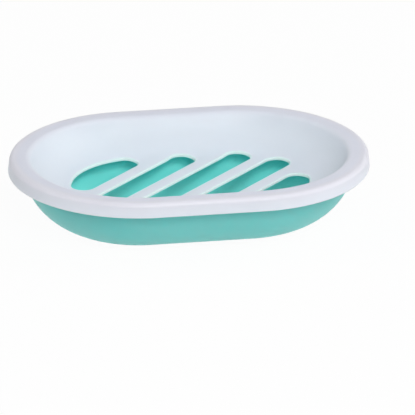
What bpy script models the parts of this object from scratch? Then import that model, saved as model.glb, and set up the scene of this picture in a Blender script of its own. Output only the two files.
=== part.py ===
"""Oval soap dish in two mouldings: a white slotted tray whose rim sits over the rim of a teal bowl.

Metres, +Z up. The origin is the centre of the bowl's flat bottom, and +X runs along the dish.
Both plans are a straight stretch between two half circles. A section is given by its inset from the
dish's widest outline and its depth below the top of the rim.
"""
import math

import bmesh
import bpy
from mathutils import Vector

# Overall size
DISH_LENGTH = 0.140
DISH_WIDTH = 0.100
DISH_HEIGHT = 0.0275

# White tray
TRAY_WALL = 0.0012
SKIRT_DROP = 0.0058
SKIRT_LEAN = 0.0004
RIM_OUTER_ROUND = 0.0018
RIM_FLAT = 0.0044
RIM_INNER_ROUND = 0.0026
BASIN_WALL_ANGLE = math.radians(66)
FLOOR_DEPTH = 0.01205

# Drain slots in the tray's floor
SLOT_COUNT = 5
SLOT_WIDTH = 0.01035
SLOT_PITCH = 0.01592
SLOT_ANGLE = math.radians(45.6)
SLOT_CORNER = 0.0048
SLOT_SIDE_MARGIN = 0.022
SLOT_END_MARGIN = 0.0237
SLOT_RUN_OFFSET = 0.00095

# Teal bowl
BOWL_WALL = 0.0014
BOWL_TOP_INSET = 0.0064
BOWL_SHOULDER = 0.0032
BOWL_WALL_RUN = 0.025
BOWL_WALL_POWER = 1.87

# Clearances between the two pieces
SEAT_CLEARANCE = 0.0003
SKIRT_CLEARANCE = 0.0004

# Steps of the curved stretches
END_STEPS = 24
ROUND_STEPS = 3
SHOULDER_STEPS = 4
BASIN_STEPS = 7
BOWL_STEPS = 9
CORNER_STEPS = 24
SMOOTH_ANGLE = math.radians(35)
FLAT_ANGLE = math.radians(0.5)

# Overrun of a cut past both faces, and the distance at which points are one
CUT_OVERRUN = 0.003
MERGE_DISTANCE = 0.00001

END_RADIUS = DISH_WIDTH / 2
HALF_STRAIGHT = DISH_LENGTH / 2 - END_RADIUS

TRAY_COLOUR = (0.74, 0.78, 0.86, 1)
BOWL_COLOUR = (0.13, 0.56, 0.50, 1)
PLASTIC_ROUGHNESS = 0.42


def clear_scene():
    """Removes every object of the scene."""
    for item in list(bpy.data.objects):
        bpy.data.objects.remove(item, do_unlink=True)


def new_collection(name):
    collection = bpy.data.collections.new(name)
    bpy.context.scene.collection.children.link(collection)
    return collection


def plastic(name, colour):
    """Satin moulded plastic of one colour."""
    material = bpy.data.materials.new(name)
    material.use_nodes = True
    shader = material.node_tree.nodes["Principled BSDF"]
    shader.inputs["Base Color"].default_value = colour
    shader.inputs["Roughness"].default_value = PLASTIC_ROUGHNESS
    shader.inputs["Metallic"].default_value = 0
    return material


def arc(inset, depth, radius, start, end, steps):
    """Points of a round in the section. Angle 0 points inwards, and a quarter turn points down."""
    angles = [start + (end - start) * step / steps for step in range(steps + 1)]
    return [(inset + radius * math.cos(angle), depth + radius * math.sin(angle)) for angle in angles]


def basin_radius():
    """Radius of the hollow wall that joins the rim's inner round to the floor without a break."""
    round_drop = RIM_INNER_ROUND * (1 - math.cos(BASIN_WALL_ANGLE))
    return (FLOOR_DEPTH - round_drop) / (1 - math.cos(BASIN_WALL_ANGLE))


def rim_inner_centre():
    """Inset and depth of the centre of the rim's inner round."""
    return SKIRT_LEAN + RIM_OUTER_ROUND + RIM_FLAT, RIM_INNER_ROUND


def basin_centre():
    """Inset and depth of the centre of the hollow basin wall, which lies above the floor's edge."""
    inset, depth = rim_inner_centre()
    reach = RIM_INNER_ROUND + basin_radius()
    return inset + reach * math.sin(BASIN_WALL_ANGLE), depth - reach * math.cos(BASIN_WALL_ANGLE)


def basin_lines(thickness):
    """Floor, basin wall and the rim's inner round, a thickness below the tray's top, from the middle out."""
    quarter = math.pi / 2
    wall_inset, wall_depth = basin_centre()
    hollow = arc(
        wall_inset, wall_depth, basin_radius() + thickness, quarter, quarter + BASIN_WALL_ANGLE, BASIN_STEPS
    )
    round_inset, round_depth = rim_inner_centre()
    shoulder = arc(
        round_inset, round_depth, RIM_INNER_ROUND - thickness, BASIN_WALL_ANGLE - quarter, -quarter, ROUND_STEPS
    )
    return [(END_RADIUS, FLOOR_DEPTH + thickness)] + hollow + shoulder[1:]


def tray_section():
    """The tray's section from the middle of its top, over the rim and back under to the middle."""
    half_turn = math.pi
    round_inset = SKIRT_LEAN + RIM_OUTER_ROUND
    crest = arc(round_inset, RIM_OUTER_ROUND, RIM_OUTER_ROUND, -half_turn / 2, -half_turn, ROUND_STEPS)
    skirt = [
        (0, SKIRT_DROP),
        (TRAY_WALL, SKIRT_DROP),
        (SKIRT_LEAN + TRAY_WALL, TRAY_WALL),
    ]
    return basin_lines(0) + crest + skirt + basin_lines(TRAY_WALL)[::-1]


def bowl_rim_depth():
    """Depth of the bowl's rim, which carries the underside of the tray's rim."""
    return TRAY_WALL + SEAT_CLEARANCE


def bowl_shoulder_centre():
    """Inset and depth of the centre of the round that turns the bowl's rim into its wall."""
    return BOWL_TOP_INSET - BOWL_SHOULDER, bowl_rim_depth() + BOWL_WALL + BOWL_SHOULDER


def bowl_wall(thickness):
    """The bowl's wall, a quarter of a superellipse, a thickness inside its outer face, from the top down."""
    top_depth = bowl_shoulder_centre()[1]
    rise = DISH_HEIGHT - top_depth
    points = []
    for step in range(BOWL_STEPS + 1):
        angle = math.pi / 2 * step / BOWL_STEPS
        level_share = max(math.cos(angle), 0) ** (2 / BOWL_WALL_POWER)
        fall_share = math.sin(angle) ** (2 / BOWL_WALL_POWER)
        inwards = level_share ** (BOWL_WALL_POWER - 1) / BOWL_WALL_RUN
        upwards = fall_share ** (BOWL_WALL_POWER - 1) / rise
        slope = math.hypot(inwards, upwards)
        inset = BOWL_TOP_INSET + BOWL_WALL_RUN * (1 - level_share) + thickness * inwards / slope
        depth = top_depth + rise * fall_share - thickness * upwards / slope
        points.append((inset, depth))
    return points


def bowl_section():
    """The bowl's section from the middle of its inside, over the rim and back under to the middle."""
    quarter = math.pi / 2
    shoulder_inset, shoulder_depth = bowl_shoulder_centre()
    rim_inset = SKIRT_LEAN + TRAY_WALL + SKIRT_CLEARANCE
    rim_depth = bowl_rim_depth()
    inner_round = arc(shoulder_inset, shoulder_depth, BOWL_SHOULDER + BOWL_WALL, 0, -quarter, SHOULDER_STEPS)
    outer_round = arc(shoulder_inset, shoulder_depth, BOWL_SHOULDER, -quarter, 0, SHOULDER_STEPS)
    middle_inside = [(END_RADIUS, DISH_HEIGHT - BOWL_WALL)]
    rim_edge = [(rim_inset, rim_depth), (rim_inset, rim_depth + BOWL_WALL)]
    middle_outside = [(END_RADIUS, DISH_HEIGHT)]
    inside = middle_inside + bowl_wall(BOWL_WALL)[::-1] + inner_round[1:]
    outside = outer_round + bowl_wall(0)[1:] + middle_outside
    return inside + rim_edge + outside


def sweep_half(section):
    """Carries a section round the half of the plan at +X: along a side, round the end and back."""
    mesh = bmesh.new()
    corners = [mesh.verts.new((0, inset - END_RADIUS, DISH_HEIGHT - depth)) for inset, depth in section]
    edges = [mesh.edges.new(pair) for pair in zip(corners, corners[1:])]

    def straight(line, distance):
        made = bmesh.ops.extrude_edge_only(mesh, edges=line)["geom"]
        moved = [item for item in made if isinstance(item, bmesh.types.BMVert)]
        bmesh.ops.translate(mesh, verts=moved, vec=(distance, 0, 0))
        return [item for item in made if isinstance(item, bmesh.types.BMEdge)]

    near_end = straight(edges, HALF_STRAIGHT)
    near_points = list({point for edge in near_end for point in edge.verts})
    turned = bmesh.ops.spin(
        mesh,
        geom=near_points + near_end,
        cent=(HALF_STRAIGHT, 0, 0),
        axis=(0, 0, 1),
        angle=math.pi,
        steps=END_STEPS,
    )
    far_end = [item for item in turned["geom_last"] if isinstance(item, bmesh.types.BMEdge)]
    straight(far_end, -HALF_STRAIGHT)
    bmesh.ops.remove_doubles(mesh, verts=mesh.verts, dist=MERGE_DISTANCE)
    bmesh.ops.recalc_face_normals(mesh, faces=mesh.faces)
    return mesh


def shell(name, section, material, collection):
    """A moulding swept from its section, mirrored to the end at -X."""
    swept = sweep_half(section)
    data = bpy.data.meshes.new(name)
    swept.to_mesh(data)
    swept.free()
    data.materials.append(material)
    data.shade_smooth()
    data.set_sharp_from_angle(angle=SMOOTH_ANGLE)
    item = bpy.data.objects.new(name, data)
    collection.objects.link(item)
    mirror = item.modifiers.new("other end", "MIRROR")
    mirror.use_axis = (True, False, False)
    mirror.merge_threshold = MERGE_DISTANCE
    return item


def field_outline(margin):
    """Plan of the slotted area less a margin, anticlockwise: two half circles and the straight sides.

    Its middle lies a little way along the slots from the middle of the dish.
    """
    radius = END_RADIUS - SLOT_SIDE_MARGIN
    half_straight = DISH_LENGTH / 2 - SLOT_END_MARGIN - radius
    radius -= margin
    offset = SLOT_RUN_OFFSET * Vector((math.cos(SLOT_ANGLE), math.sin(SLOT_ANGLE)))
    points = []
    for side in (1, -1):
        for step in range(END_STEPS + 1):
            angle = math.pi * (step / END_STEPS - 1 / 2)
            along = half_straight + radius * math.cos(angle)
            points.append(side * Vector((along, radius * math.sin(angle))) + offset)
    return points


def clip(outline, normal, reach):
    """The part of a convex outline that lies no further than the reach along the normal."""
    kept = []
    for start, end in zip(outline, outline[1:] + outline[:1]):
        start_over = start.dot(normal) - reach
        end_over = end.dot(normal) - reach
        if start_over <= 0:
            kept.append(start)
        if start_over * end_over < 0:
            kept.append(start.lerp(end, start_over / (start_over - end_over)))
    return kept


def slot_cutter(index, collection):
    """An upright block in the plan of one slot: a slanted strip that ends at the slotted area's edge.

    The first and the last slot have one straight side, and run out to the area's edge on the other.
    """
    across = Vector((math.sin(SLOT_ANGLE), -math.cos(SLOT_ANGLE)))
    centre = (index - (SLOT_COUNT - 1) / 2) * SLOT_PITCH
    reach = SLOT_WIDTH / 2 - SLOT_CORNER
    plan = field_outline(SLOT_CORNER)
    if index < SLOT_COUNT - 1:
        plan = clip(plan, across, centre + reach)
    if index > 0:
        plan = clip(plan, -across, reach - centre)
    top = DISH_HEIGHT - FLOOR_DEPTH + CUT_OVERRUN
    bottom = DISH_HEIGHT - FLOOR_DEPTH - TRAY_WALL - CUT_OVERRUN
    block = bmesh.new()
    for point in plan:
        for step in range(CORNER_STEPS):
            angle = 2 * math.pi * step / CORNER_STEPS + SLOT_ANGLE
            corner = point + SLOT_CORNER * Vector((math.cos(angle), math.sin(angle)))
            block.verts.new((*corner, bottom))
            block.verts.new((*corner, top))
    hull = bmesh.ops.convex_hull(block, input=block.verts, use_existing_faces=False)
    inner = [item for item in hull["geom_interior"] if isinstance(item, bmesh.types.BMVert)]
    bmesh.ops.delete(block, geom=inner, context="VERTS")
    bmesh.ops.dissolve_limit(block, angle_limit=FLAT_ANGLE, verts=block.verts, edges=block.edges)
    name = f"slot_cutter_{index + 1}"
    data = bpy.data.meshes.new(name)
    block.to_mesh(data)
    block.free()
    cutter = bpy.data.objects.new(name, data)
    cutter.hide_render = True
    cutter.display_type = "WIRE"
    collection.objects.link(cutter)
    return cutter


def drain_tray(parts, cutters):
    """White tray: skirt, rim, basin and a floor with diagonal drain slots."""
    tray = shell("drain_tray", tray_section(), plastic("white plastic", TRAY_COLOUR), parts)
    for index in range(SLOT_COUNT):
        cut = tray.modifiers.new(f"slot {index + 1}", "BOOLEAN")
        cut.operation = "DIFFERENCE"
        cut.object = slot_cutter(index, cutters)
    return tray


def base_bowl(parts):
    """Teal bowl: a rim under the tray's rim, an elliptical wall and a flat bottom to stand on."""
    return shell("base_bowl", bowl_section(), plastic("teal plastic", BOWL_COLOUR), parts)


def main():
    clear_scene()
    parts = new_collection("soap_dish")
    cutters = new_collection("soap_dish_cutters")
    base_bowl(parts)
    drain_tray(parts, cutters)


main()
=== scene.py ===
"""Oval soap dish in two satin mouldings, a slotted white tray on a teal bowl, with its studio.

Metres, +Z up. The dish stands on its bowl at the origin and +X runs along it. Both plans are a
straight stretch between two half circles. A section is given by its inset from the dish's widest
outline and its depth below the top of the rim.
"""
import math

import bmesh
import bpy
from bpy.props import FloatProperty, FloatVectorProperty, IntProperty, PointerProperty
from mathutils import Matrix, Vector
from mathutils.geometry import delaunay_2d_cdt


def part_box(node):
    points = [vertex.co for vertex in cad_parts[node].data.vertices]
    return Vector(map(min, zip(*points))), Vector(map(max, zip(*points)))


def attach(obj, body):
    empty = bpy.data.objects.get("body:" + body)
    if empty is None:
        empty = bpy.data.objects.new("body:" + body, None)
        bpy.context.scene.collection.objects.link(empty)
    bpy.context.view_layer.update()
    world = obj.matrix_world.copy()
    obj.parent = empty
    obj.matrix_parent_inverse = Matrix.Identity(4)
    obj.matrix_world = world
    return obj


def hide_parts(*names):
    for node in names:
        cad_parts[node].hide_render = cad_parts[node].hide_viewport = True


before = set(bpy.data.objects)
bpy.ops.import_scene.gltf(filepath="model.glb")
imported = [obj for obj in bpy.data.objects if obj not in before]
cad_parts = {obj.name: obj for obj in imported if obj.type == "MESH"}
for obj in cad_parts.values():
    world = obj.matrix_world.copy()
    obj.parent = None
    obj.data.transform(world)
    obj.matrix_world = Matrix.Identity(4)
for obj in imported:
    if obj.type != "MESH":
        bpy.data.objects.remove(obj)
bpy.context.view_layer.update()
TRAY_LOW, TRAY_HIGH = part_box("drain_tray")

bl_info = {
    "name": "Soap Dish",
    "version": (1, 0, 0),
    "blender": (4, 5, 0),
    "location": "3D View > Sidebar > Soap Dish",
    "description": "Builds an oval soap dish of a slotted tray and a bowl, and a studio round it",
    "category": "Object",
}

QUARTER = math.pi / 2

# Steps along the plan's and the sections' stretches, and the turn from point to point at a corner
END_STEPS = 72
STRAIGHT_STEPS = 16
ROUND_STEPS = 8
HOLLOW_STEPS = 12
BOWL_STEPS = 36
EDGE_STEPS = 5
CORNER_TURN = math.radians(6)

# Metres between points on the slotted floor and beside an edge. Points within the last are one.
POINT_SPACING = 0.0011
SUPPORT_SPACING = 0.00025
SAME_POINT = 0.000002

# Room round the slots, the shortest stretch with points beside its ends, and a row's fewest points
FLOOR_MARGIN = 3 * POINT_SPACING
LONG_STRETCH = 4 * SUPPORT_SPACING
LEAST_ROW_POINTS = 4

# How far the first rings round a slot take the painted glow of the bowl, from the floor to the edge
FRINGE_GLOW_SHARES = (0, 0.6, 0.75, 0.9, 1)

# What the finish takes off the plain roughness, what its streaks and its grain add, and the detail
# of their noise
ROUGHNESS_DROP = 0.03
STREAK_ROUGHNESS = 0.04
GRAIN_ROUGHNESS = 0.02
STREAK_DETAIL = 3
GRAIN_DETAIL = 2
PLASTIC_IOR = 1.49

WHITE = (1, 1, 1, 1)

# Half the floor's side, its drop under the dish, the camera's sensor, and how far the camera sees
FLOOR_HALF_SIDE = 6
FLOOR_DROP = 0.0001
SENSOR_MILLIMETRES = 36
CAMERA_REACH = 100

# Softboxes: turn from the front towards +X and height above the horizon in degrees, share of the
# studio's power, width and height
SOFTBOXES = {
    "key softbox": (0, 33, 0.29, 0.5, 0.5),
    "upper key softbox": (7, 41, 0.25, 0.35, 0.35),
    "front softbox": (0, 25, 0.13, 1.0, 1.6),
    "right softbox": (85, 33, 0.51, 1.0, 1.6),
    "left softbox": (-90, 38, 0.25, 1.0, 1.6),
    "right back softbox": (140, 45, 0.06, 1.0, 1.6),
    "left back softbox": (-140, 45, 0.06, 1.0, 1.6),
}


def length(name, description, default):
    return FloatProperty(
        name=name, description=description, default=default, min=0, precision=5, unit="LENGTH"
    )


def angle(name, description, default):
    return FloatProperty(name=name, description=description, default=default, subtype="ANGLE")


def share(name, description, default):
    return FloatProperty(
        name=name, description=description, default=default, min=0, max=1, subtype="FACTOR"
    )


def colour(name, description, default):
    return FloatVectorProperty(
        name=name, description=description, default=default, min=0, max=1, subtype="COLOR"
    )


class DishSizes(bpy.types.PropertyGroup):
    """Sizes of the tray, its slots and the bowl."""

    dish_length: length("Length", "Length of the rim", TRAY_HIGH.x - TRAY_LOW.x)
    dish_width: length("Width", "Width of the rim", TRAY_HIGH.y - TRAY_LOW.y)
    dish_height: length("Height", "Height of the rim above the surface", TRAY_HIGH.z)
    tray_wall: length("Tray wall", "Thickness of the tray", 0.0012)
    skirt_drop: length("Skirt", "Drop of the skirt below the top of the rim", 0.0058)
    skirt_lean: length("Skirt lean", "How far the skirt spreads towards its foot", 0.0004)
    skirt_foot_round: length("Skirt foot round", "Round along the foot of the skirt", 0.0005)
    rim_outer_round: length("Outer round", "Round between the skirt and the rim", 0.0018)
    rim_flat: length("Rim flat", "Width of the flat of the rim", 0.0044)
    rim_inner_round: length("Inner round", "Round between the rim and the basin", 0.0026)
    basin_wall_angle: angle("Basin wall", "Steepest slope of the basin's wall", math.radians(66))
    floor_depth: length("Basin depth", "Depth of the basin's floor", 0.01205)
    slot_count: IntProperty(name="Slots", description="Number of drain slots", default=5, min=1)
    slot_width: length("Slot width", "Width of a slot", 0.01035)
    slot_pitch: length("Slot pitch", "Distance from slot to slot", 0.01592)
    slot_angle: angle("Slot slant", "Slant of the slots", math.radians(45.6))
    slot_corner: length("Slot corner", "Radius of a slot's corners", 0.0048)
    slot_side_margin: length("Side margin", "Slots' distance from the rim's sides", 0.022)
    slot_end_margin: length("End margin", "Slots' distance from the rim's ends", 0.0237)
    slot_run_offset: length("Run offset", "Slots' shift off the middle along their run", 0.00095)
    slot_top_round: length("Slot edge round", "Round along a slot's top edge", 0.0004)
    slot_foot_round: length("Slot lower round", "Round along a slot's lower edge", 0.0002)
    # Width of the band of painted glow round each slot's edge
    painted_glow_width: length("Fringe width", "Width of the tinted fringe round a slot's edge", 0.0006)
    bowl_wall: length("Bowl wall", "Thickness of the bowl", 0.0014)
    bowl_top_inset: length("Bowl inset", "Inset of the bowl's wall under its rim", 0.0064)
    bowl_shoulder: length("Bowl shoulder", "Round between the bowl's rim and wall", 0.0032)
    bowl_wall_run: length("Wall run", "How far the bowl's wall runs inwards", 0.025)
    bowl_wall_power: FloatProperty(
        name="Wall power", description="Fullness of the bowl's curve", default=1.87, min=1
    )
    bowl_rim_round: length("Bowl rim round", "Round along the edge of the bowl's rim", 0.0006)
    seat_clearance: length("Seat clearance", "Gap between the tray and the bowl's rim", 0.0003)
    skirt_clearance: length("Skirt clearance", "Gap between the skirt and the bowl", 0.0004)


class PlasticColours(bpy.types.PropertyGroup):
    """Colours and finish of the two plastics; some of the colours paint light and shade into them.
    """

    # One white plastic in four colours that paint how each band looks under the light: the basin's
    # lighter cyan is painted glow of the bowl shining through, and the skirt, rim and floor differ
    # by painted shade
    skirt: colour("Skirt", "Colour of the tray's skirt", (0.795, 0.79, 0.89))
    rim: colour("Rim", "Colour of the tray's rim", (0.765, 0.79, 0.93))
    basin: colour("Basin", "Colour of the basin, where the bowl shines through", (0.81, 0.86, 0.98))
    floor: colour("Basin floor", "Colour of the slotted floor", (0.755, 0.80, 0.915))
    # Painted glow: the slots' edge walls are pale cyan and brighter than the tray, standing in for
    # the bowl's light shining through them
    slot_edge: colour("Slot edge", "Colour of the slots' edges", (0.93, 1.0, 1.0))
    # Painted glow: the floor next to a slot fades to this pale cyan, standing in for the bowl's
    # light shining up through the edge
    slot_fringe_painted_glow: colour("Slot fringe", "Colour of the floor close to a slot", (0.77, 0.93, 0.96))
    edge_translucence: share(
        "Edge translucence", "Share of the light that enters the slots' edges", 0.3
    )
    bowl: colour("Bowl", "Colour of the bowl", (0.222, 0.838, 0.752))
    # Painted light: the inside is the same teal plastic, made lighter and greener to stand in for
    # light passing through the wall and bouncing round the cavity
    bowl_inside_painted_light: colour("Bowl, inside", "Colour of the bowl's inside", (0.24, 0.985, 0.90))
    streaks: share("Streaks", "Strength of the faint streaks in the plastic", 0.05)
    tray_translucence: share("Tray translucence", "Share of the light that enters the tray", 0.6)
    tray_light_depth: length("Tray light depth", "How far light runs inside the tray", 0.003)
    bowl_translucence: share("Bowl translucence", "Share of the light that enters the bowl", 1.0)
    inside_translucence: share(
        "Inside translucence", "Share of the light that enters the bowl's inside", 0.3
    )
    bowl_light_depth: length("Bowl light depth", "How far light runs inside the bowl", 0.009)
    bowl_light_shares: colour(
        "Bowl light", "How far each colour runs inside the bowl", (0.4, 1, 0.95)
    )
    roughness: share("Roughness", "Roughness of the moulded finish", 0.47)
    grain: length("Grain", "Size of the moulding's fine grain", 0.0004)
    grain_height: length("Grain height", "Height of the moulding's fine grain", 0.000004)
    flow: length("Flow", "Size of the faint streaks in the plastic", 0.022)


class StudioSettings(bpy.types.PropertyGroup):
    """Light, floor and camera."""

    floor: colour("Floor", "Colour of the floor", (0.9, 0.9, 0.9))
    floor_glow: share("Floor glow", "Share of plain white in the floor as it is seen", 0.96)
    world: colour("Surroundings", "Light from all round", (0.2, 0.2, 0.2))
    power: FloatProperty(
        name="Power", description="Power that the softboxes share", default=20, unit="POWER"
    )
    softbox_distance: length("Softbox distance", "Distance of the softboxes", 1.6)
    azimuth: angle("Azimuth", "Camera's turn round the dish", -0.1714)
    elevation: angle("Elevation", "Camera's height above the horizon", 0.3746)
    roll: angle("Roll", "Camera's roll", 0.0033)
    distance: length("Distance", "Camera's distance", 2.758)
    focal_pixels: FloatProperty(
        name="Focal length",
        description="Focal length in pixels of the frame",
        default=7158,
        subtype="PIXEL",
    )
    frame_pixels: FloatProperty(
        name="Frame", description="Side of the frame in pixels", default=415, subtype="PIXEL"
    )
    aim: FloatVectorProperty(
        name="Aim",
        description="Pixel of the frame where the middle of the rim lies, counted from its middle",
        default=(-18.348, 54.235),
        size=2,
    )


class Shade:
    """A shader socket whose arithmetic adds Math nodes to its tree."""

    def __init__(self, tree, socket):
        self.tree = tree
        self.socket = socket

    def math(self, operation, other=0.0, reflected=False):
        """A Math node on this socket and another value, in the other order if reflected."""
        values = (other, self) if reflected else (self, other)
        settings = {"operation": operation}
        return add_node(self.tree, "ShaderNodeMath", settings, dict(enumerate(values)))

    def __add__(self, other):
        return self.math("ADD", other)

    def __sub__(self, other):
        return self.math("SUBTRACT", other)

    def __rsub__(self, other):
        return self.math("SUBTRACT", other, reflected=True)

    def __mul__(self, other):
        return self.math("MULTIPLY", other)

    def __truediv__(self, other):
        return self.math("DIVIDE", other)

    __radd__ = __add__
    __rmul__ = __mul__


def set_inputs(tree, node, inputs):
    """Links or sets each named input of a node."""
    for name, value in inputs.items():
        if isinstance(value, Shade):
            tree.links.new(value.socket, node.inputs[name])
        else:
            node.inputs[name].default_value = value


def add_node(tree, kind, settings=None, inputs=None, output=0):
    """Adds a node with its settings and inputs, and returns one of its outputs."""
    node = tree.nodes.new(kind)
    for name, value in (settings or {}).items():
        if name == "stops":
            ramp = node.color_ramp
            while len(ramp.elements) < len(value):
                ramp.elements.new(1)
            for element, (place, shade) in zip(ramp.elements, value):
                element.position = place
                element.color = (*shade, 1)
        else:
            setattr(node, name, value)
    set_inputs(tree, node, inputs or {})
    return Shade(tree, node.outputs[output]) if node.outputs else None


def mix_colours(tree, factor, first, second, blend="MIX"):
    """A Mix node for colours, whose colour inputs are numbered 6 and 7."""
    settings = {"data_type": "RGBA", "clamp_factor": True, "blend_type": blend}
    return add_node(tree, "ShaderNodeMix", settings, {0: factor, 6: first, 7: second}, output=2)


def noise(tree, place, size, detail):
    """Noise from 0 to 1 whose patches are about one size across."""
    inputs = {"Vector": place, "Scale": 1 / size, "Detail": detail}
    return add_node(tree, "ShaderNodeTexNoise", {}, inputs)


def solid(shade):
    """A colour with its alpha, as a socket takes it."""
    return (*shade, 1)


def new_material(name):
    """A material, its tree, its shader and the place of a point on the piece."""
    material = bpy.data.materials.new(name)
    material.use_nodes = True
    tree = material.node_tree
    place = add_node(tree, "ShaderNodeTexCoord", output="Object")
    return material, tree, tree.nodes["Principled BSDF"], place


def moulded_finish(tree, place, colours):
    """Streaks of a moulded skin, and its roughness and normal: nearly even, with a fine grain."""
    streaks = noise(tree, place, colours.flow, STREAK_DETAIL)
    grain = noise(tree, place, colours.grain, GRAIN_DETAIL)
    plain = colours.roughness - ROUGHNESS_DROP
    roughness = plain + streaks * STREAK_ROUGHNESS + grain * GRAIN_ROUGHNESS
    bump = {"Height": grain, "Distance": colours.grain_height, "Strength": 1}
    normal = add_node(tree, "ShaderNodeBump", {}, bump)
    return streaks, {"Roughness": roughness, "Normal": normal}


def inner_light(translucence, depth, shares=(1, 1, 1)):
    """Constant inputs of a plastic thin enough for light to pass through its wall."""
    return {
        "IOR": PLASTIC_IOR,
        "Subsurface Weight": translucence,
        "Subsurface Radius": shares,
        "Subsurface Scale": depth,
    }


def plan_inset(tree, place, sizes):
    """Distance of a point of the plan from the dish's widest outline."""
    radius = sizes.dish_width / 2
    half_straight = sizes.dish_length / 2 - radius
    along, across = [
        add_node(tree, "ShaderNodeSeparateXYZ", {}, {0: place}, output=axis) for axis in ("X", "Y")
    ]
    beyond = (along.math("ABSOLUTE") - half_straight).math("MAXIMUM")
    return radius - (beyond * beyond + across * across).math("SQRT")


def slot_edge_painted_glow_plastic(colours):
    """The white plastic along the slots' edges, pale cyan to paint the glow of the bowl shining
    through them.
    """
    material, tree, shader, place = new_material("satin white plastic, slot edges")
    _, skin = moulded_finish(tree, place, colours)
    inner = inner_light(colours.edge_translucence, colours.tray_light_depth)
    # The base colour is painted glow
    set_inputs(tree, shader, {"Base Color": solid(colours.slot_edge), **skin, **inner})
    return material


def white_plastic(colours, sizes):
    """Cool white satin plastic, coloured from the skirt over the rim and basin to the slots, with
    painted light: each band takes the tone it shows under the light, and the basin's lighter cyan is
    the painted glow of the bowl.
    """
    material, tree, shader, place = new_material("satin white plastic")
    streaks, skin = moulded_finish(tree, place, colours)
    basin = Basin(sizes)
    edge = sizes.skirt_lean + sizes.rim_outer_round
    reach = basin.inset
    # Painted light and shade: a colour for each band of the plan, with the basin's painted cyan glow
    # of the bowl
    stops = [
        (edge / 2 / reach, colours.skirt),
        (2 * edge / reach, colours.rim),
        (basin.round_inset / reach, colours.rim),
        ((basin.round_inset + sizes.rim_inner_round) / reach, colours.basin),
        (1, colours.floor),
    ]
    along = plan_inset(tree, place, sizes) / reach
    shade = add_node(tree, "ShaderNodeValToRGB", {"stops": stops}, {0: along})
    # Painted glow: the floor turns pale cyan towards each slot's edge, by the share of painted glow
    # stored on the rings
    glow_fringe = add_node(tree, "ShaderNodeAttribute", {"attribute_name": "tint"}, output="Fac")
    shade = mix_colours(tree, glow_fringe, shade, solid(colours.slot_fringe_painted_glow))
    shade = streaked(tree, shade, streaks, colours)
    inner = inner_light(colours.tray_translucence, colours.tray_light_depth)
    set_inputs(tree, shader, {"Base Color": shade, **skin, **inner})
    return material


def streaked(tree, shade, streaks, colours):
    """The colour, a little deeper in the streaks that the plastic's flow leaves."""
    level = 1 - streaks * colours.streaks
    grey = add_node(tree, "ShaderNodeCombineColor", {}, {0: level, 1: level, 2: level})
    return mix_colours(tree, 1.0, shade, grey, "MULTIPLY")


def teal_plastic(name, shade, translucence, colours):
    """Teal satin plastic with faint streaks from the way it flowed into the mould."""
    material, tree, shader, place = new_material(name)
    streaks, skin = moulded_finish(tree, place, colours)
    inner = inner_light(translucence, colours.bowl_light_depth, colours.bowl_light_shares)
    shade = streaked(tree, solid(shade), streaks, colours)
    set_inputs(tree, shader, {"Base Color": shade, **skin, **inner})
    return material


def arc(inset, depth, radius, start, end, steps):
    """Points of a round in the section. Angle 0 points inwards, and a quarter turn points down."""
    turns = [start + (end - start) * step / steps for step in range(steps + 1)]
    return [(inset + radius * math.cos(turn), depth + radius * math.sin(turn)) for turn in turns]


def supported(points):
    """The section with two more points on each long flat stretch, one near either end."""
    full = [points[0]]
    for start, end in zip(points, points[1:]):
        span = math.dist(start, end)
        if span > LONG_STRETCH:
            for part in (SUPPORT_SPACING / span, 1 - SUPPORT_SPACING / span):
                full.append(tuple(a + (b - a) * part for a, b in zip(start, end)))
        full.append(end)
    return full


class Basin:
    """The tray's hollow, at any thickness under its top: rim flat, inner round, wall and floor."""

    def __init__(self, sizes):
        slope = sizes.basin_wall_angle
        drop = 1 - math.cos(slope)
        self.slope = slope
        self.floor_depth = sizes.floor_depth
        self.round_radius = sizes.rim_inner_round
        self.round_inset = sizes.skirt_lean + sizes.rim_outer_round + sizes.rim_flat
        self.radius = (sizes.floor_depth - self.round_radius * drop) / drop
        reach = self.round_radius + self.radius
        self.inset = self.round_inset + reach * math.sin(slope)
        self.depth = self.round_radius - reach * math.cos(slope)

    def depth_at(self, inset, thickness):
        """Depth of the hollow wall or the floor under a point of the plan."""
        if inset >= self.inset:
            return self.floor_depth + thickness
        return self.depth + math.sqrt((self.radius + thickness) ** 2 - (self.inset - inset) ** 2)

    def line(self, inner_inset, thickness):
        """Section from an inset on the hollow wall up to the flat of the rim."""
        start = QUARTER + math.asin((self.inset - inner_inset) / (self.radius + thickness))
        end = QUARTER + self.slope
        hollow = arc(self.inset, self.depth, self.radius + thickness, start, end, HOLLOW_STEPS)
        shoulder = arc(
            self.round_inset,
            self.round_radius,
            self.round_radius - thickness,
            self.slope - QUARTER,
            -QUARTER,
            ROUND_STEPS,
        )
        return hollow + shoulder[1:]


class Plan:
    """The dish's plan, and the ring of points at an inset and a depth."""

    def __init__(self, sizes):
        self.end_radius = sizes.dish_width / 2
        self.half_straight = sizes.dish_length / 2 - self.end_radius
        self.height = sizes.dish_height

    def ring(self, inset, depth):
        radius = self.end_radius - inset
        level = self.height - depth
        points = []
        for side in (1, -1):
            for step in range(END_STEPS):
                turn = math.pi * step / END_STEPS - QUARTER
                along = self.half_straight + radius * math.cos(turn)
                across = radius * math.sin(turn)
                points.append(Vector((side * along, side * across, level)))
            for step in range(STRAIGHT_STEPS):
                along = self.half_straight * (1 - 2 * step / STRAIGHT_STEPS)
                points.append(Vector((side * along, side * radius, level)))
        return points

    def inset_at(self, point):
        beyond = max(abs(point.x) - self.half_straight, 0)
        return self.end_radius - math.hypot(beyond, point.y)


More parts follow.
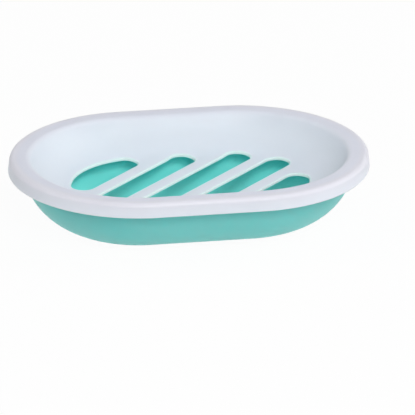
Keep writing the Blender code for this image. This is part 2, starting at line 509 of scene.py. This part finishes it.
class Moulding:
    """A closed surface gathered from bands between rings, flat caps and sheets of triangles."""

    def __init__(self):
        self.mesh = bmesh.new()
        # Share of painted glow on each point, which the white plastic mixes towards the pale cyan of
        # the slot fringe
        self.tint = self.mesh.verts.layers.float.new("tint")

    def bands(self, rings, coat=0, painted_glows=()):
        """Quads from ring to ring in one of the piece's materials, with a share of painted glow for
        each ring.
        """
        rows = [[self.mesh.verts.new(point) for point in ring] for ring in rings]
        for row, tint in zip(rows, painted_glows):
            for corner in row:
                corner[self.tint] = tint
        for first, second in zip(rows, rows[1:]):
            turned = zip(first, first[1:] + first[:1], second[1:] + second[:1], second)
            for corners in turned:
                self.mesh.faces.new(corners).material_index = coat

    def cap(self, ring, coat=0):
        self.mesh.faces.new([self.mesh.verts.new(point) for point in ring]).material_index = coat

    def sheet(self, points, triangles):
        corners = [self.mesh.verts.new(point) for point in points]
        for triangle in triangles:
            self.mesh.faces.new([corners[index] for index in triangle])

    def finish(self, name, materials, body, node):
        """Welds the surface into one object that rides on its body in place of the solid's node."""
        bmesh.ops.remove_doubles(self.mesh, verts=self.mesh.verts, dist=SAME_POINT)
        bmesh.ops.recalc_face_normals(self.mesh, faces=self.mesh.faces)
        open_edges = [edge for edge in self.mesh.edges if not edge.is_manifold]
        if open_edges:
            raise RuntimeError(f"{name} has {len(open_edges)} open edges")
        data = bpy.data.meshes.new(name)
        self.mesh.to_mesh(data)
        self.mesh.free()
        data.shade_smooth()
        for material in materials:
            data.materials.append(material)
        item = bpy.data.objects.new(name, data)
        bpy.context.scene.collection.objects.link(item)
        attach(item, body)
        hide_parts(node)


def slot_area(sizes, margin):
    """Plan of the slotted area less a margin, anticlockwise."""
    radius = sizes.dish_width / 2 - sizes.slot_side_margin
    half_straight = sizes.dish_length / 2 - sizes.slot_end_margin - radius
    run = Vector((math.cos(sizes.slot_angle), math.sin(sizes.slot_angle)))
    offset = sizes.slot_run_offset * run
    points = []
    for side in (1, -1):
        for step in range(END_STEPS + 1):
            turn = math.pi * step / END_STEPS - QUARTER
            along = half_straight + (radius - margin) * math.cos(turn)
            points.append(side * Vector((along, (radius - margin) * math.sin(turn))) + offset)
    return points


def clip(outline, normal, reach):
    """The part of a convex outline that lies no further than the reach along the normal."""
    kept = []
    for start, end in zip(outline, outline[1:] + outline[:1]):
        start_over = start.dot(normal) - reach
        end_over = end.dot(normal) - reach
        if start_over <= 0:
            kept.append(start)
        if start_over * end_over < 0:
            kept.append(start.lerp(end, start_over / (start_over - end_over)))
    return kept


def slot_edge(sizes, index):
    """A slot's edge as points and outward normals: a convex plan grown by the corner radius."""
    across = Vector((math.sin(sizes.slot_angle), -math.cos(sizes.slot_angle)))
    centre = (index - (sizes.slot_count - 1) / 2) * sizes.slot_pitch
    reach = sizes.slot_width / 2 - sizes.slot_corner
    plan = slot_area(sizes, sizes.slot_corner)
    if index < sizes.slot_count - 1:
        plan = clip(plan, across, centre + reach)
    if index > 0:
        plan = clip(plan, -across, reach - centre)
    pairs = zip(plan[-1:] + plan, plan)
    plan = [here for before, here in pairs if (here - before).length > SAME_POINT]
    edges = []
    for here, after in zip(plan, plan[1:] + plan[:1]):
        run = after - here
        edges.append((here, after, math.atan2(-run.x, run.y)))
    corner = sizes.slot_corner
    points = []
    for (_, _, turn), (here, after, next_turn) in zip(edges[-1:] + edges, edges):
        change = (next_turn - turn) % (2 * math.pi)
        steps = max(1, math.ceil(change / CORNER_TURN))
        for step in range(steps + 1):
            way = turn + change * step / steps
            normal = Vector((math.cos(way), math.sin(way)))
            points.append((here + normal * corner, normal))
        splits = math.ceil((after - here).length / POINT_SPACING)
        for step in range(1, splits):
            points.append((here.lerp(after, step / splits) + normal * corner, normal))
    kept = [points[0]]
    for point in points[1:]:
        if (point[0] - kept[-1][0]).length > SUPPORT_SPACING:
            kept.append(point)
    if (kept[0][0] - kept[-1][0]).length < SUPPORT_SPACING:
        kept.pop()
    return kept


def grown(edge, distance):
    """The points of a slot's edge, moved outwards by a distance."""
    return [point + normal * distance for point, normal in edge]


def inside(point, outline):
    """Whether a point lies inside a convex anticlockwise outline."""
    return all(
        (end - start).cross(point - start) > 0
        for start, end in zip(outline, outline[1:] + outline[:1])
    )


def floor_sheet(plan, outer_inset, edges, reach, depth_at):
    """The floor between its outer ring and a reach round each slot's edge, in even triangles."""
    loops = [grown(edge, reach) for edge in edges]
    keep_out = [grown(edge, reach + POINT_SPACING / 2) for edge in edges]
    points = [point.to_2d() for point in plan.ring(outer_inset, 0)]
    counts = [len(points)]
    for loop in loops:
        points += loop
        counts.append(len(loop))
    borders = []
    first = 0
    for count in counts:
        borders += [(first + step, first + (step + 1) % count) for step in range(count)]
        first += count
    inset = outer_inset + POINT_SPACING
    row = 0
    while inset < plan.end_radius:
        for place in row_points(plan, inset, row):
            if not any(inside(place, loop) for loop in keep_out):
                points.append(place)
        inset += POINT_SPACING
        row += 1
    made = delaunay_2d_cdt(points, borders, [], 1, SAME_POINT)
    flat, triangles = made[0], made[2]
    kept = []
    for triangle in triangles:
        centre = sum((flat[index] for index in triangle), Vector((0, 0))) / 3
        if not any(inside(centre, loop) for loop in loops):
            kept.append(triangle)
    used = sorted({index for triangle in kept for index in triangle})
    order = {index: place for place, index in enumerate(used)}
    solid_points = []
    for index in used:
        point = flat[index].to_3d()
        point.z = plan.height - depth_at(plan.inset_at(point))
        solid_points.append(point)
    return solid_points, [[order[index] for index in triangle] for triangle in kept]


def row_points(plan, inset, row):
    """Evenly spaced points along the plan at an inset, half a step further in every second row."""
    radius = plan.end_radius - inset
    straight = 2 * plan.half_straight
    total = 2 * straight + 2 * math.pi * radius
    count = max(LEAST_ROW_POINTS, round(total / POINT_SPACING))
    places = []
    for step in range(count):
        run = total * (step + row % 2 / 2) / count
        side = 1 if run < total / 2 else -1
        run %= total / 2
        if run < straight:
            point = Vector((run - plan.half_straight, -radius))
        else:
            turn = (run - straight) / max(radius, SAME_POINT) - QUARTER
            point = Vector((plan.half_straight + radius * math.cos(turn), radius * math.sin(turn)))
        places.append(side * point)
    return places


def skirt_line(sizes):
    """Section of the outer round, the skirt and its round foot, back up to the rim's underside."""
    wall = sizes.tray_wall
    foot = min(sizes.skirt_foot_round, wall / 2)
    outer = sizes.rim_outer_round
    crest = arc(sizes.skirt_lean + outer, outer, outer, -QUARTER, -2 * QUARTER, ROUND_STEPS)
    outer_foot = arc(foot, sizes.skirt_drop - foot, foot, 2 * QUARTER, QUARTER, ROUND_STEPS)
    inner_foot = arc(wall - foot, sizes.skirt_drop - foot, foot, QUARTER, 0, ROUND_STEPS)
    inner_corner = (sizes.skirt_lean + wall, wall)
    return crest + outer_foot + inner_foot[1:] + [inner_corner]


def slot_rings(plan, edge, rounding, glow_fringe, depth_at, down):
    """Rings round a slot on one side of the floor: one in the floor, then along the edge's round."""
    turns = [QUARTER * step / EDGE_STEPS for step in range(EDGE_STEPS + 1)]
    line = [(rounding + glow_fringe, 0)]
    line += [(rounding * (1 - math.sin(turn)), rounding * (1 - math.cos(turn))) for turn in turns]
    rings = []
    for reach, drop in line:
        ring = []
        for point in grown(edge, reach):
            depth = depth_at(plan.inset_at(point)) + down * drop
            ring.append(Vector((point.x, point.y, plan.height - depth)))
        rings.append(ring)
    return rings


def build_tray(sizes, colours):
    """White tray: skirt, rim, basin and a floor with diagonal drain slots."""
    plan = Plan(sizes)
    basin = Basin(sizes)
    wall = sizes.tray_wall
    inner_inset = min(sizes.slot_side_margin, sizes.slot_end_margin) - FLOOR_MARGIN
    top = basin.line(inner_inset, 0)
    under = basin.line(inner_inset, wall)
    section = supported(top + skirt_line(sizes) + under[::-1])
    tray = Moulding()
    tray.bands([plan.ring(inset, depth) for inset, depth in section])
    edges = [slot_edge(sizes, index) for index in range(sizes.slot_count)]
    levels = (
        (sizes.slot_top_round, sizes.painted_glow_width, lambda inset: basin.depth_at(inset, 0), 1),
        (sizes.slot_foot_round, SUPPORT_SPACING, lambda inset: basin.depth_at(inset, wall), -1),
    )
    sides = []
    for rounding, glow_fringe, depth_at, down in levels:
        tray.sheet(*floor_sheet(plan, inner_inset, edges, rounding + glow_fringe, depth_at))
        sides.append([slot_rings(plan, edge, rounding, glow_fringe, depth_at, down) for edge in edges])
    # The first rings round each slot carry the painted glow; the rest of the edge takes the slot
    # edges' painted glow material
    plain = len(FRINGE_GLOW_SHARES)
    for upper, lower in zip(*sides):
        tray.bands(upper[:plain], painted_glows=FRINGE_GLOW_SHARES)
        tray.bands(upper[plain - 1 :] + lower[::-1], 1)
    coats = [white_plastic(colours, sizes), slot_edge_painted_glow_plastic(colours)]
    tray.finish("drain_tray_skin", coats, "tray", "drain_tray")


def bowl_curve(sizes, thickness):
    """The bowl's wall from the top down: a superellipse, a thickness inside the outer face."""
    power = sizes.bowl_wall_power
    top_depth = bowl_rim_depth(sizes) + sizes.bowl_wall + sizes.bowl_shoulder
    rise = sizes.dish_height - top_depth
    points = []
    for step in range(BOWL_STEPS + 1):
        turn = QUARTER * step / BOWL_STEPS
        level_share = max(math.cos(turn), 0) ** (2 / power)
        fall_share = math.sin(turn) ** (2 / power)
        inwards = level_share ** (power - 1) / sizes.bowl_wall_run
        upwards = fall_share ** (power - 1) / rise
        slope = math.hypot(inwards, upwards)
        inset = sizes.bowl_top_inset + sizes.bowl_wall_run * (1 - level_share)
        depth = top_depth + rise * fall_share
        moved = (inset + thickness * inwards / slope, depth - thickness * upwards / slope)
        points.append(moved)
    return points


def bowl_rim_depth(sizes):
    """Depth of the bowl's rim, which lies a clearance under the tray's."""
    return sizes.tray_wall + sizes.seat_clearance


def build_bowl(sizes, colours):
    """Teal bowl: a rim that carries the tray, an elliptical wall and a flat bottom to stand on."""
    plan = Plan(sizes)
    wall = sizes.bowl_wall
    shoulder = sizes.bowl_shoulder
    rim_depth = bowl_rim_depth(sizes)
    rim_inset = sizes.skirt_lean + sizes.tray_wall + sizes.skirt_clearance
    inset = sizes.bowl_top_inset - shoulder
    depth = rim_depth + wall + shoulder
    inner = arc(inset, depth, shoulder + wall, 0, -QUARTER, ROUND_STEPS)
    outer = arc(inset, depth, shoulder, -QUARTER, 0, ROUND_STEPS)
    edge = sizes.bowl_rim_round
    lip = arc(rim_inset + edge, rim_depth + edge, edge, -QUARTER, -2 * QUARTER, ROUND_STEPS)
    lip += arc(rim_inset + edge, rim_depth + wall - edge, edge, 2 * QUARTER, QUARTER, ROUND_STEPS)
    inside_line = bowl_curve(sizes, wall)[::-1] + inner[1:] + lip[:1]
    outside_line = lip + outer + bowl_curve(sizes, 0)[1:]
    bowl = Moulding()
    for coat, line in enumerate((inside_line, outside_line)):
        rings = [plan.ring(*point) for point in supported(line)]
        bowl.bands(rings, coat)
        bowl.cap(rings[-coat], coat)
    coats = [
        # The inside's lighter teal is painted light
        teal_plastic(
            "satin teal plastic, inside", colours.bowl_inside_painted_light, colours.inside_translucence, colours
        ),
        teal_plastic("satin teal plastic", colours.bowl, colours.bowl_translucence, colours),
    ]
    bowl.finish("base_bowl_skin", coats, "base", "base_bowl")


def camera_place(studio, sizes):
    """The camera's matrix, with the middle of the rim at its place off the middle of the frame."""
    azimuth, elevation, roll = studio.azimuth, studio.elevation, studio.roll
    level = math.cos(elevation)
    back = Vector((math.sin(azimuth) * level, -math.cos(azimuth) * level, math.sin(elevation)))
    right = (-back).cross(Vector((0, 0, 1))).normalized()
    up = right.cross(-back)
    rolled_right = right * math.cos(roll) + up * math.sin(roll)
    rolled_up = up * math.cos(roll) - right * math.sin(roll)
    aim_x, aim_y = studio.aim
    look = (-back * studio.focal_pixels - rolled_right * aim_x - rolled_up * aim_y).normalized()
    side = look.cross(rolled_up).normalized()
    matrix = Matrix((side, side.cross(look), -look)).transposed().to_4x4()
    rim_middle = Vector((0, 0, sizes.dish_height))
    matrix.translation = rim_middle + back * studio.distance
    return matrix


def add_camera(studio, sizes):
    lens = bpy.data.cameras.new("camera")
    lens.sensor_width = SENSOR_MILLIMETRES
    lens.lens = studio.focal_pixels * SENSOR_MILLIMETRES / studio.frame_pixels
    lens.clip_end = CAMERA_REACH
    camera = bpy.data.objects.new("camera", lens)
    camera.matrix_world = camera_place(studio, sizes)
    bpy.context.scene.collection.objects.link(camera)
    bpy.context.scene.camera = camera


def add_softbox(name, turn, height, part, size, studio):
    """A softbox facing the dish, turned from the front towards +X and raised by its height."""
    lamp = bpy.data.lights.new(name, "AREA")
    lamp.shape = "RECTANGLE"
    lamp.size, lamp.size_y = size
    lamp.energy = studio.power * part
    level = math.cos(height)
    way = Vector((math.sin(turn) * level, -math.cos(turn) * level, math.sin(height)))
    item = bpy.data.objects.new(name, lamp)
    item.location = way * studio.softbox_distance
    item.rotation_euler = (-way).to_track_quat("-Z", "Y").to_euler()
    bpy.context.scene.collection.objects.link(item)


def seen_white(tree):
    """1 for rays that show the surroundings, straight, mirrored or through glass."""
    straight, mirrored, through = [
        add_node(tree, "ShaderNodeLightPath", output=name)
        for name in ("Is Camera Ray", "Is Glossy Ray", "Is Transmission Ray")
    ]
    return straight + mirrored + through


def studio_world(studio):
    world = bpy.data.worlds.new("studio surroundings")
    world.use_nodes = True
    tree = world.node_tree
    shade = mix_colours(tree, seen_white(tree), solid(studio.world), WHITE)
    set_inputs(tree, tree.nodes["Background"], {"Color": shade})
    bpy.context.scene.world = world


def studio_floor(studio):
    """A matt floor that shows as white with a faint shadow from above, and is clear from below."""
    material = bpy.data.materials.new("studio floor")
    material.use_nodes = True
    tree = material.node_tree
    tree.nodes.clear()
    matt = add_node(tree, "ShaderNodeBsdfDiffuse", {}, {"Color": solid(studio.floor)})
    glow = add_node(tree, "ShaderNodeEmission", {}, {"Color": WHITE, "Strength": 1})
    faded = seen_white(tree) * studio.floor_glow
    upper = add_node(tree, "ShaderNodeMixShader", {}, {0: faded, 1: matt, 2: glow})
    from_below = add_node(tree, "ShaderNodeNewGeometry", output="Backfacing")
    clear = add_node(tree, "ShaderNodeBsdfTransparent")
    surface = add_node(tree, "ShaderNodeMixShader", {}, {0: from_below, 1: upper, 2: clear})
    add_node(tree, "ShaderNodeOutputMaterial", {}, {0: surface})
    return material


def add_floor(studio):
    data = bpy.data.meshes.new("floor")
    mesh = bmesh.new()
    bmesh.ops.create_grid(mesh, x_segments=1, y_segments=1, size=FLOOR_HALF_SIDE)
    mesh.to_mesh(data)
    mesh.free()
    data.materials.append(studio_floor(studio))
    floor = bpy.data.objects.new("floor", data)
    floor.location.z = -FLOOR_DROP
    bpy.context.scene.collection.objects.link(floor)


class SOAPDISH_OT_tray(bpy.types.Operator):
    """Builds the slotted tray"""

    bl_idname = "soap_dish.tray"
    bl_label = "Drain tray"

    def execute(self, context):
        build_tray(context.scene.soap_dish_sizes, context.scene.soap_dish_colours)
        return {"FINISHED"}


class SOAPDISH_OT_bowl(bpy.types.Operator):
    """Builds the bowl under the tray"""

    bl_idname = "soap_dish.bowl"
    bl_label = "Bowl"

    def execute(self, context):
        build_bowl(context.scene.soap_dish_sizes, context.scene.soap_dish_colours)
        return {"FINISHED"}


class SOAPDISH_OT_studio(bpy.types.Operator):
    """Sets the floor, the lights and the camera"""

    bl_idname = "soap_dish.studio"
    bl_label = "Studio"

    def execute(self, context):
        studio = context.scene.soap_dish_studio
        sizes = context.scene.soap_dish_sizes
        add_camera(studio, sizes)
        studio_world(studio)
        add_floor(studio)
        for name, (turn, height, part, *size) in SOFTBOXES.items():
            add_softbox(name, math.radians(turn), math.radians(height), part, size, studio)
        context.scene.view_settings.view_transform = "Standard"
        return {"FINISHED"}


class SOAPDISH_PT_panel(bpy.types.Panel):
    """Lists the pieces of the dish and the studio"""

    bl_idname = "SOAPDISH_PT_panel"
    bl_label = "Soap Dish"
    bl_space_type = "VIEW_3D"
    bl_region_type = "UI"
    bl_category = "Soap Dish"

    def draw(self, context):
        for operator in OPERATORS:
            self.layout.operator(operator.bl_idname)
        for name in GROUPS:
            group = getattr(context.scene, name)
            box = self.layout.box()
            for key in group.bl_rna.properties.keys():
                if key not in ("rna_type", "name"):
                    box.prop(group, key)


OPERATORS = (SOAPDISH_OT_bowl, SOAPDISH_OT_tray, SOAPDISH_OT_studio)
GROUPS = {
    "soap_dish_sizes": DishSizes,
    "soap_dish_colours": PlasticColours,
    "soap_dish_studio": StudioSettings,
}


def register():
    for name, group in GROUPS.items():
        bpy.utils.register_class(group)
        setattr(bpy.types.Scene, name, PointerProperty(type=group))
    for item in (*OPERATORS, SOAPDISH_PT_panel):
        bpy.utils.register_class(item)


def unregister():
    for item in (SOAPDISH_PT_panel, *OPERATORS[::-1]):
        bpy.utils.unregister_class(item)
    for name, group in GROUPS.items():
        delattr(bpy.types.Scene, name)
        bpy.utils.unregister_class(group)


def main():
    register()
    bpy.ops.soap_dish.bowl()
    bpy.ops.soap_dish.tray()
    bpy.ops.soap_dish.studio()


if __name__ == "__main__":
    main()
